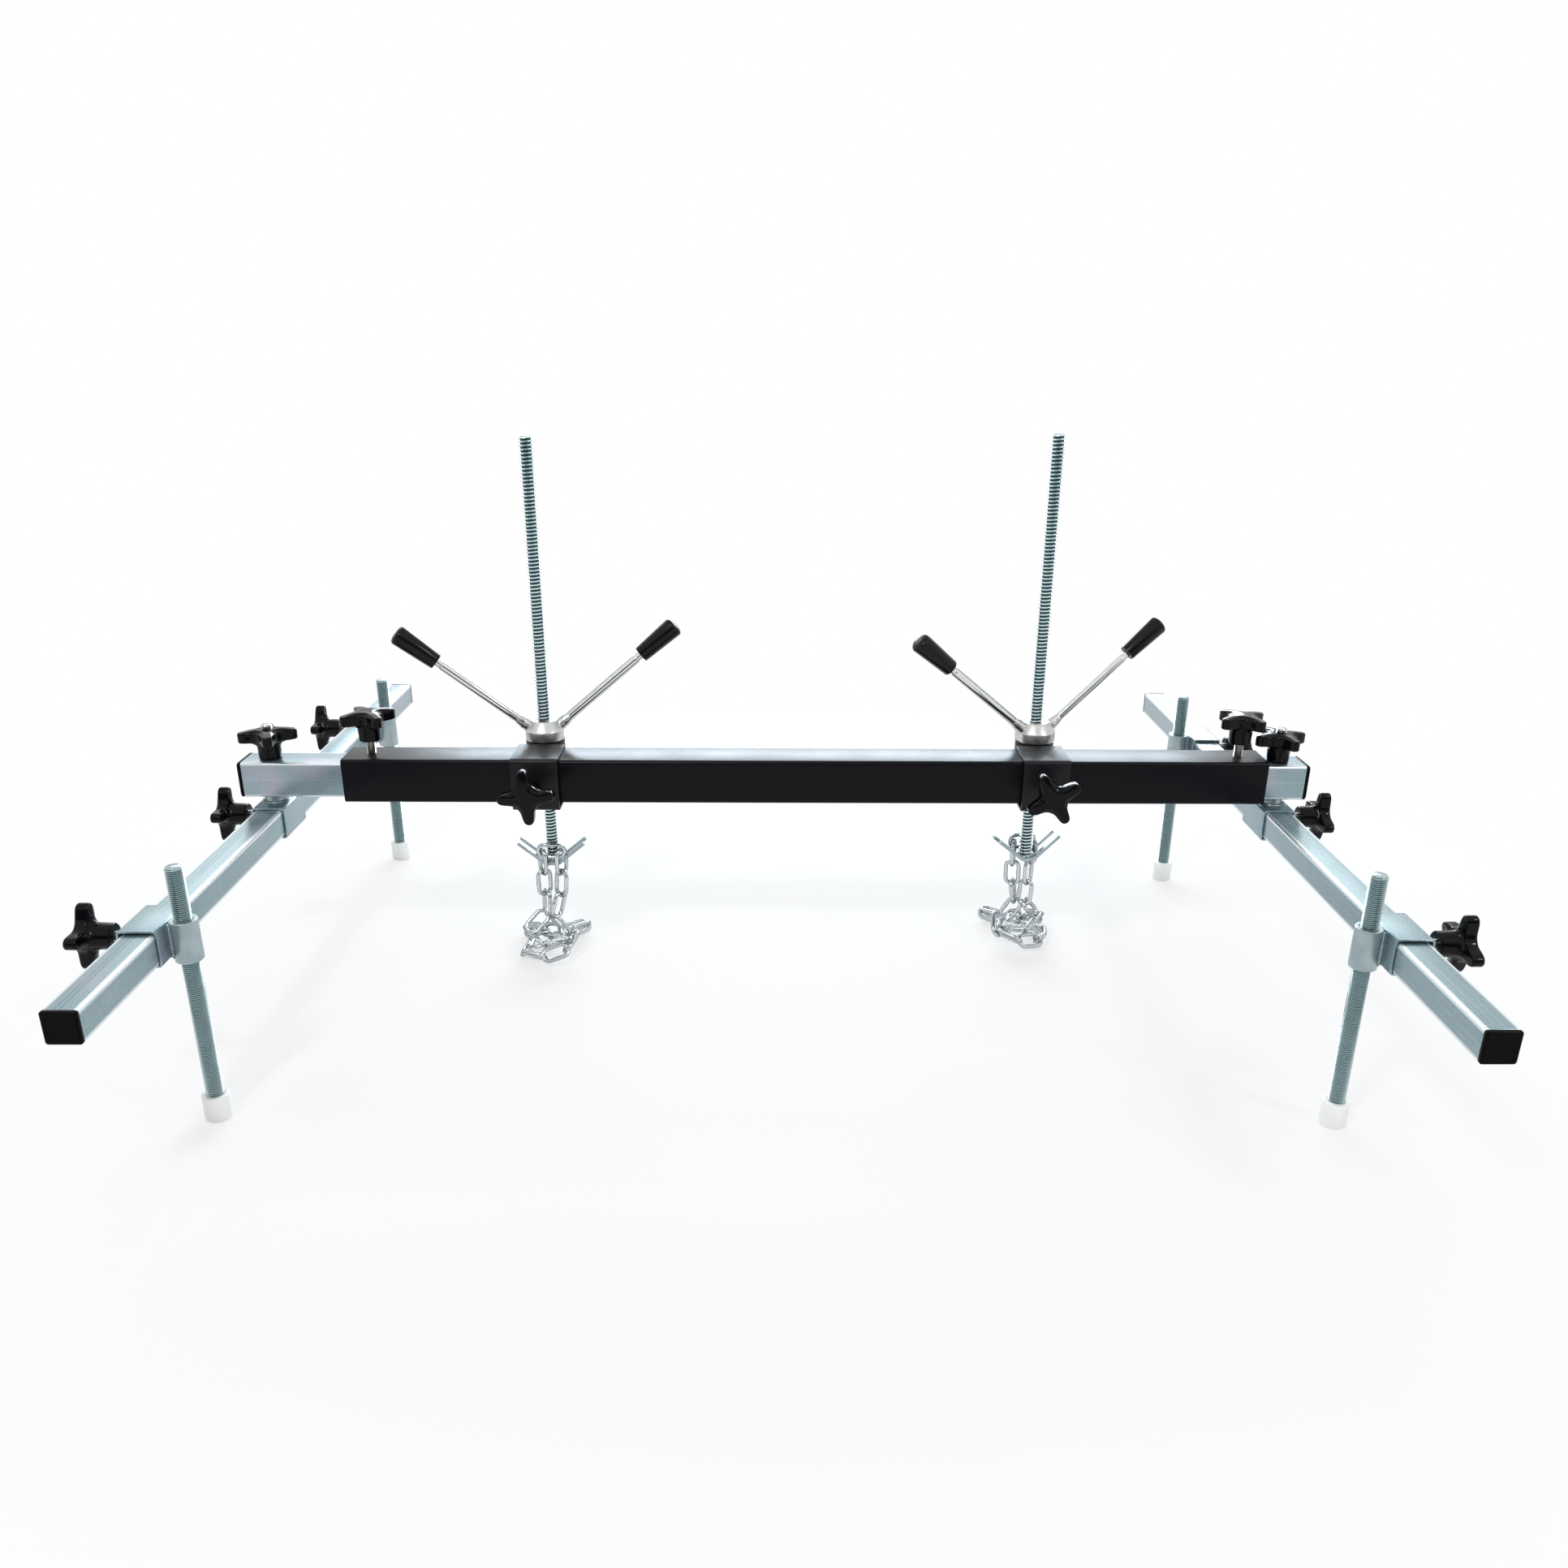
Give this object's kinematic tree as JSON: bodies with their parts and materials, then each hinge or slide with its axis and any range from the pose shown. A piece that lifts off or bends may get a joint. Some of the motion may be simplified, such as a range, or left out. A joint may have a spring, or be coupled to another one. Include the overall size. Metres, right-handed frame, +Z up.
{
  "type": "engine support bar",
  "caption": "Cross beam with telescoping ends on sliding rails with screw feet; twin lifting screws carry slotted hooks and chains to hold an engine from above.",
  "frame": {"origin": "on the floor plane under the middle of the bounding box", "axes": "+X along the main beam to the right, +Y away from the side with the lift locks, +Z up"},
  "size_m": [1.269, 1.01, 0.6105],
  "materials": {
    "black_powder_coat": "satin black powder coat with a fine texture",
    "zinc_steel": "pale blue-grey zinc plating with faint streaks",
    "bright_steel": "bright turned steel",
    "black_plastic": "glossy black moulded plastic",
    "cap_plastic": "satin black moulded plastic",
    "white_nylon": "milky white nylon"
  },
  "bodies": {
    "beam": {"main_beam": "black_powder_coat"},
    "left_extension": {"left_extension": "zinc_steel", "left_extension_cap": "cap_plastic"},
    "left_extension_lock_stud": {"left_extension_lock_stud": "bright_steel"},
    "left_extension_lock_knob": {"left_extension_lock_knob": "black_plastic"},
    "left_swivel": {"left_swivel_sleeve": "zinc_steel"},
    "left_swivel_knob": {"left_swivel_knob": "black_plastic"},
    "left_rail_lock_stud": {"left_rail_lock_stud": "bright_steel"},
    "left_rail_lock_knob": {"left_rail_lock_knob": "black_plastic"},
    "left_rail": {"left_rail": "zinc_steel", "left_front_rail_cap": "cap_plastic", "left_rear_rail_cap": "cap_plastic"},
    "left_front_foot": {"left_front_foot_sleeve": "zinc_steel"},
    "left_front_foot_lock_stud": {"left_front_foot_lock_stud": "bright_steel"},
    "left_front_foot_lock_knob": {"left_front_foot_lock_knob": "black_plastic"},
    "left_front_foot_pad": {"left_front_foot_pad": "white_nylon"},
    "left_front_foot_screw": {"left_front_foot_screw": "zinc_steel"},
    "left_rear_foot": {"left_rear_foot_sleeve": "zinc_steel"},
    "left_rear_foot_lock_stud": {"left_rear_foot_lock_stud": "bright_steel"},
    "left_rear_foot_lock_knob": {"left_rear_foot_lock_knob": "black_plastic"},
    "left_rear_foot_pad": {"left_rear_foot_pad": "white_nylon"},
    "left_rear_foot_screw": {"left_rear_foot_screw": "zinc_steel"},
    "left_lift_sleeve": {"left_lift_sleeve": "black_powder_coat"},
    "left_lift_lock_stud": {"left_lift_lock_stud": "bright_steel"},
    "left_lift_lock_knob": {"left_lift_lock_knob": "black_plastic"},
    "left_lift_hub": {"left_lift_hub": "bright_steel", "left_lift_left_grip": "black_plastic", "left_lift_right_grip": "black_plastic"},
    "left_lift_screw": {"left_lift_screw": "zinc_steel", "left_chain": "zinc_steel"},
    "right_extension": {"right_extension": "zinc_steel", "right_extension_cap": "cap_plastic"},
    "right_extension_lock_stud": {"right_extension_lock_stud": "bright_steel"},
    "right_extension_lock_knob": {"right_extension_lock_knob": "black_plastic"},
    "right_swivel": {"right_swivel_sleeve": "zinc_steel"},
    "right_swivel_knob": {"right_swivel_knob": "black_plastic"},
    "right_rail_lock_stud": {"right_rail_lock_stud": "bright_steel"},
    "right_rail_lock_knob": {"right_rail_lock_knob": "black_plastic"},
    "right_rail": {"right_rail": "zinc_steel", "right_front_rail_cap": "cap_plastic", "right_rear_rail_cap": "cap_plastic"},
    "right_front_foot": {"right_front_foot_sleeve": "zinc_steel"},
    "right_front_foot_lock_stud": {"right_front_foot_lock_stud": "bright_steel"},
    "right_front_foot_lock_knob": {"right_front_foot_lock_knob": "black_plastic"},
    "right_front_foot_pad": {"right_front_foot_pad": "white_nylon"},
    "right_front_foot_screw": {"right_front_foot_screw": "zinc_steel"},
    "right_rear_foot": {"right_rear_foot_sleeve": "zinc_steel"},
    "right_rear_foot_lock_stud": {"right_rear_foot_lock_stud": "bright_steel"},
    "right_rear_foot_lock_knob": {"right_rear_foot_lock_knob": "black_plastic"},
    "right_rear_foot_pad": {"right_rear_foot_pad": "white_nylon"},
    "right_rear_foot_screw": {"right_rear_foot_screw": "zinc_steel"},
    "right_lift_sleeve": {"right_lift_sleeve": "black_powder_coat"},
    "right_lift_lock_stud": {"right_lift_lock_stud": "bright_steel"},
    "right_lift_lock_knob": {"right_lift_lock_knob": "black_plastic"},
    "right_lift_hub": {"right_lift_hub": "bright_steel", "right_lift_left_grip": "black_plastic", "right_lift_right_grip": "black_plastic"},
    "right_lift_screw": {"right_lift_screw": "zinc_steel", "right_chain": "zinc_steel"}
  },
  "joints": [
    {"name": "left_extension_slide", "type": "slide", "parent": "beam", "child": "left_extension", "axis": [-1, 0, 0], "range_m": [-0.065, 0.2]},
    {"name": "left_extension_lock_travel", "type": "slide", "parent": "beam", "child": "left_extension_lock_stud", "axis": [0, 0, 1], "range_m": [0, 0.003]},
    {"name": "left_extension_lock_turn", "type": "hinge", "parent": "left_extension_lock_stud", "child": "left_extension_lock_knob", "pos_m": [-0.4535, 0.0005, 0.24], "axis": [0, 0, 1], "range_deg": [0, 721]},
    {"name": "left_swivel", "type": "hinge", "parent": "left_extension", "child": "left_swivel", "pos_m": [-0.5665, 0.0005, 0.1918], "axis": [0, 0, 1], "range_deg": [-45, 45]},
    {"name": "left_swivel_knob_turn", "type": "hinge", "parent": "left_swivel", "child": "left_swivel_knob", "pos_m": [-0.5665, 0.0005, 0.2596], "axis": [0, 0, 1], "range_deg": [0, 360]},
    {"name": "left_rail_lock_travel", "type": "slide", "parent": "left_swivel", "child": "left_rail_lock_stud", "axis": [-1, 0, 0], "range_m": [0, 0.003]},
    {"name": "left_rail_lock_turn", "type": "hinge", "parent": "left_rail_lock_stud", "child": "left_rail_lock_knob", "pos_m": [-0.5658, 0.0005, 0.1918], "axis": [-1, 0, 0], "range_deg": [0, 721]},
    {"name": "left_rail_slide", "type": "slide", "parent": "left_swivel", "child": "left_rail", "axis": [0, 1, 0], "range_m": [-0.1, 0.1]},
    {"name": "left_front_foot_slide", "type": "slide", "parent": "left_rail", "child": "left_front_foot", "axis": [0, 1, 0], "range_m": [-0.12, 0.11]},
    {"name": "left_front_foot_lock_travel", "type": "slide", "parent": "left_front_foot", "child": "left_front_foot_lock_stud", "axis": [-1, 0, 0], "range_m": [0, 0.003]},
    {"name": "left_front_foot_lock_turn", "type": "hinge", "parent": "left_front_foot_lock_stud", "child": "left_front_foot_lock_knob", "pos_m": [-0.5658, -0.3115, 0.1932], "axis": [-1, 0, 0], "range_deg": [0, 721]},
    {"name": "left_front_foot_height", "type": "slide", "parent": "left_front_foot", "child": "left_front_foot_pad", "axis": [0, 0, 1], "range_m": [-0.05, 0.14]},
    {"name": "left_front_foot_screw_turn", "type": "hinge", "parent": "left_front_foot_pad", "child": "left_front_foot_screw", "pos_m": [-0.5372, -0.3115, 0.0063], "axis": [0, 0, 1], "range_deg": [-9001, 25201]},
    {"name": "left_rear_foot_slide", "type": "slide", "parent": "left_rail", "child": "left_rear_foot", "axis": [0, 1, 0], "range_m": [-0.11, 0.14]},
    {"name": "left_rear_foot_lock_travel", "type": "slide", "parent": "left_rear_foot", "child": "left_rear_foot_lock_stud", "axis": [-1, 0, 0], "range_m": [0, 0.003]},
    {"name": "left_rear_foot_lock_turn", "type": "hinge", "parent": "left_rear_foot_lock_stud", "child": "left_rear_foot_lock_knob", "pos_m": [-0.5658, 0.3265, 0.1932], "axis": [-1, 0, 0], "range_deg": [0, 721]},
    {"name": "left_rear_foot_height", "type": "slide", "parent": "left_rear_foot", "child": "left_rear_foot_pad", "axis": [0, 0, 1], "range_m": [-0.05, 0.14]},
    {"name": "left_rear_foot_screw_turn", "type": "hinge", "parent": "left_rear_foot_pad", "child": "left_rear_foot_screw", "pos_m": [-0.5372, 0.3265, 0.0063], "axis": [0, 0, 1], "range_deg": [-9001, 25201]},
    {"name": "left_lift_slide", "type": "slide", "parent": "beam", "child": "left_lift_sleeve", "axis": [1, 0, 0], "range_m": [-0.05, 0.2]},
    {"name": "left_lift_lock_travel", "type": "slide", "parent": "left_lift_sleeve", "child": "left_lift_lock_stud", "axis": [0, -1, 0], "range_m": [0, 0.003]},
    {"name": "left_lift_lock_turn", "type": "hinge", "parent": "left_lift_lock_stud", "child": "left_lift_lock_knob", "pos_m": [-0.2705, 0.0005, 0.24], "axis": [0, -1, 0], "range_deg": [0, 721]},
    {"name": "left_lift_turn", "type": "hinge", "parent": "left_lift_sleeve", "child": "left_lift_hub", "pos_m": [-0.2685, 0.0502, 0.2686], "axis": [0, 0, 1], "range_deg": [-4501, 27001]},
    {"name": "left_lift_travel", "type": "slide", "parent": "left_lift_sleeve", "child": "left_lift_screw", "axis": [0, 0, 1], "range_m": [-0.3, 0.05]},
    {"name": "right_extension_slide", "type": "slide", "parent": "beam", "child": "right_extension", "axis": [1, 0, 0], "range_m": [0, 0.27]},
    {"name": "right_extension_lock_travel", "type": "slide", "parent": "beam", "child": "right_extension_lock_stud", "axis": [0, 0, 1], "range_m": [0, 0.003]},
    {"name": "right_extension_lock_turn", "type": "hinge", "parent": "right_extension_lock_stud", "child": "right_extension_lock_knob", "pos_m": [0.5205, 0.0005, 0.24], "axis": [0, 0, 1], "range_deg": [0, 721]},
    {"name": "right_swivel", "type": "hinge", "parent": "right_extension", "child": "right_swivel", "pos_m": [0.5665, 0.0005, 0.1918], "axis": [0, 0, 1], "range_deg": [-45, 45]},
    {"name": "right_swivel_knob_turn", "type": "hinge", "parent": "right_swivel", "child": "right_swivel_knob", "pos_m": [0.5665, 0.0005, 0.2596], "axis": [0, 0, 1], "range_deg": [0, 360]},
    {"name": "right_rail_lock_travel", "type": "slide", "parent": "right_swivel", "child": "right_rail_lock_stud", "axis": [1, 0, 0], "range_m": [0, 0.003]},
    {"name": "right_rail_lock_turn", "type": "hinge", "parent": "right_rail_lock_stud", "child": "right_rail_lock_knob", "pos_m": [0.5658, 0.0005, 0.1918], "axis": [1, 0, 0], "range_deg": [0, 721]},
    {"name": "right_rail_slide", "type": "slide", "parent": "right_swivel", "child": "right_rail", "axis": [0, 1, 0], "range_m": [-0.08, 0.1]},
    {"name": "right_front_foot_slide", "type": "slide", "parent": "right_rail", "child": "right_front_foot", "axis": [0, 1, 0], "range_m": [-0.14, 0.11]},
    {"name": "right_front_foot_lock_travel", "type": "slide", "parent": "right_front_foot", "child": "right_front_foot_lock_stud", "axis": [1, 0, 0], "range_m": [0, 0.003]},
    {"name": "right_front_foot_lock_turn", "type": "hinge", "parent": "right_front_foot_lock_stud", "child": "right_front_foot_lock_knob", "pos_m": [0.5658, -0.3255, 0.1932], "axis": [1, 0, 0], "range_deg": [0, 721]},
    {"name": "right_front_foot_height", "type": "slide", "parent": "right_front_foot", "child": "right_front_foot_pad", "axis": [0, 0, 1], "range_m": [-0.05, 0.14]},
    {"name": "right_front_foot_screw_turn", "type": "hinge", "parent": "right_front_foot_pad", "child": "right_front_foot_screw", "pos_m": [0.5372, -0.3255, 0.0063], "axis": [0, 0, 1], "range_deg": [-9001, 25201]},
    {"name": "right_rear_foot_slide", "type": "slide", "parent": "right_rail", "child": "right_rear_foot", "axis": [0, 1, 0], "range_m": [-0.08, 0.17]},
    {"name": "right_rear_foot_lock_travel", "type": "slide", "parent": "right_rear_foot", "child": "right_rear_foot_lock_stud", "axis": [1, 0, 0], "range_m": [0, 0.003]},
    {"name": "right_rear_foot_lock_turn", "type": "hinge", "parent": "right_rear_foot_lock_stud", "child": "right_rear_foot_lock_knob", "pos_m": [0.5658, 0.2585, 0.1932], "axis": [1, 0, 0], "range_deg": [0, 721]},
    {"name": "right_rear_foot_height", "type": "slide", "parent": "right_rear_foot", "child": "right_rear_foot_pad", "axis": [0, 0, 1], "range_m": [-0.05, 0.14]},
    {"name": "right_rear_foot_screw_turn", "type": "hinge", "parent": "right_rear_foot_pad", "child": "right_rear_foot_screw", "pos_m": [0.5372, 0.2585, 0.0063], "axis": [0, 0, 1], "range_deg": [-9001, 25201]},
    {"name": "right_lift_slide", "type": "slide", "parent": "beam", "child": "right_lift_sleeve", "axis": [1, 0, 0], "range_m": [-0.2, 0.12]},
    {"name": "right_lift_lock_travel", "type": "slide", "parent": "right_lift_sleeve", "child": "right_lift_lock_stud", "axis": [0, -1, 0], "range_m": [0, 0.003]},
    {"name": "right_lift_lock_turn", "type": "hinge", "parent": "right_lift_lock_stud", "child": "right_lift_lock_knob", "pos_m": [0.299, 0.0005, 0.24], "axis": [0, -1, 0], "range_deg": [0, 721]},
    {"name": "right_lift_turn", "type": "hinge", "parent": "right_lift_sleeve", "child": "right_lift_hub", "pos_m": [0.299, 0.0502, 0.2686], "axis": [0, 0, 1], "range_deg": [-4501, 27001]},
    {"name": "right_lift_travel", "type": "slide", "parent": "right_lift_sleeve", "child": "right_lift_screw", "axis": [0, 0, 1], "range_m": [-0.3, 0.05]}
  ],
  "couplings": [
    {"joint": "left_extension_lock_turn", "follows": "left_extension_lock_travel", "rad_per_m": 4188.8},
    {"joint": "left_rail_lock_turn", "follows": "left_rail_lock_travel", "rad_per_m": 4188.8},
    {"joint": "left_front_foot_lock_turn", "follows": "left_front_foot_lock_travel", "rad_per_m": 4188.8},
    {"joint": "left_front_foot_screw_turn", "follows": "left_front_foot_height", "rad_per_m": 3141.6},
    {"joint": "left_rear_foot_lock_turn", "follows": "left_rear_foot_lock_travel", "rad_per_m": 4188.8},
    {"joint": "left_rear_foot_screw_turn", "follows": "left_rear_foot_height", "rad_per_m": 3141.6},
    {"joint": "left_lift_lock_turn", "follows": "left_lift_lock_travel", "rad_per_m": 4188.8},
    {"joint": "left_lift_turn", "follows": "left_lift_travel", "rad_per_m": -1570.8},
    {"joint": "right_extension_lock_turn", "follows": "right_extension_lock_travel", "rad_per_m": 4188.8},
    {"joint": "right_rail_lock_turn", "follows": "right_rail_lock_travel", "rad_per_m": 4188.8},
    {"joint": "right_front_foot_lock_turn", "follows": "right_front_foot_lock_travel", "rad_per_m": 4188.8},
    {"joint": "right_front_foot_screw_turn", "follows": "right_front_foot_height", "rad_per_m": 3141.6},
    {"joint": "right_rear_foot_lock_turn", "follows": "right_rear_foot_lock_travel", "rad_per_m": 4188.8},
    {"joint": "right_rear_foot_screw_turn", "follows": "right_rear_foot_height", "rad_per_m": 3141.6},
    {"joint": "right_lift_lock_turn", "follows": "right_lift_lock_travel", "rad_per_m": 4188.8},
    {"joint": "right_lift_turn", "follows": "right_lift_travel", "rad_per_m": -1570.8}
  ]
}
